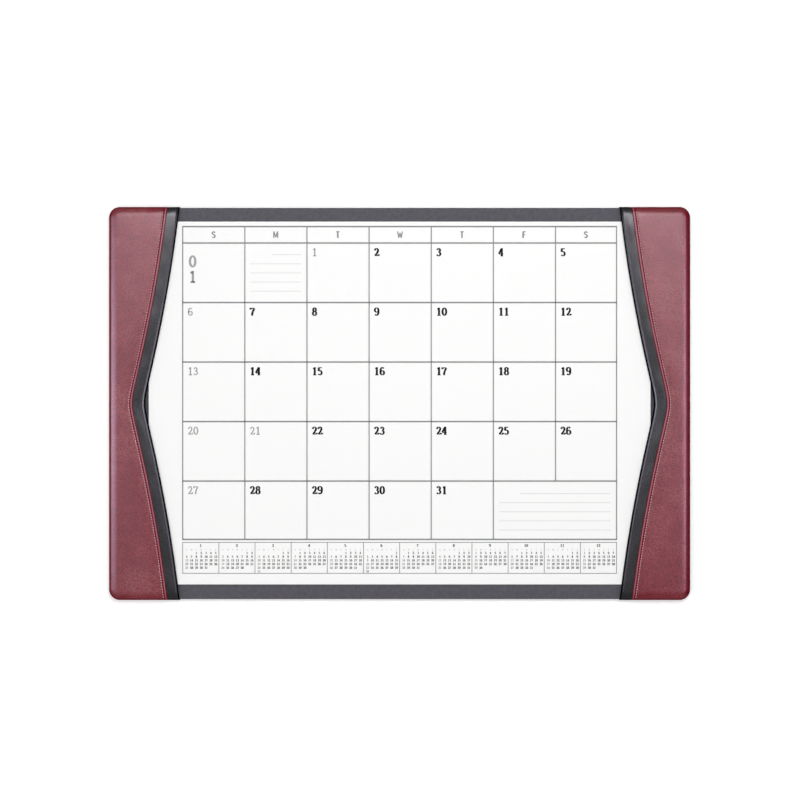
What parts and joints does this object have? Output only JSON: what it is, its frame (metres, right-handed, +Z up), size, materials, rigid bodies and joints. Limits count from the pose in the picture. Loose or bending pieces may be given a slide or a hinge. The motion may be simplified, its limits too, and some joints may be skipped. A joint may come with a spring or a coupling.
{
  "type": "desk pad calendar",
  "caption": "Leather desk pad with padded waisted side rails sewn with a narrow trim band, holding a stack of month sheets tucked under the rails.",
  "frame": {"origin": "centre of the footprint, on the desk, under the felt backing", "axes": "+X across the pad to the reader's right, +Y away from the reader towards the top of the sheet, +Z up out of the sheet"},
  "size_m": [0.6478, 0.4382, 0.0127],
  "materials": {
    "felt": "matt pressed felt",
    "board": "plain grey-brown board",
    "facing": "charcoal embossed bonded leather",
    "card": "plain grey card",
    "paper": "uncoated white sheet",
    "print_ink": "grey printed line",
    "foam": "soft padding",
    "burgundy_leather": "smooth burgundy top-grain leather with a soft sheen",
    "black_leather": "smooth black leather with a soft sheen"
  },
  "bodies": {
    "root": {"felt_backing": "felt", "base_board": "board", "board_facing": "facing", "backing_card": "card", "calendar_pad": "paper", "printed_grid": "print_ink", "month_strip_print": "print_ink", "left_rail_core": "board", "right_rail_core": "board", "left_rail_padding": "foam", "right_rail_padding": "foam", "left_leather_panel": "burgundy_leather", "right_leather_panel": "burgundy_leather", "left_trim_band": "black_leather", "right_trim_band": "black_leather"}
  },
  "joints": []
}
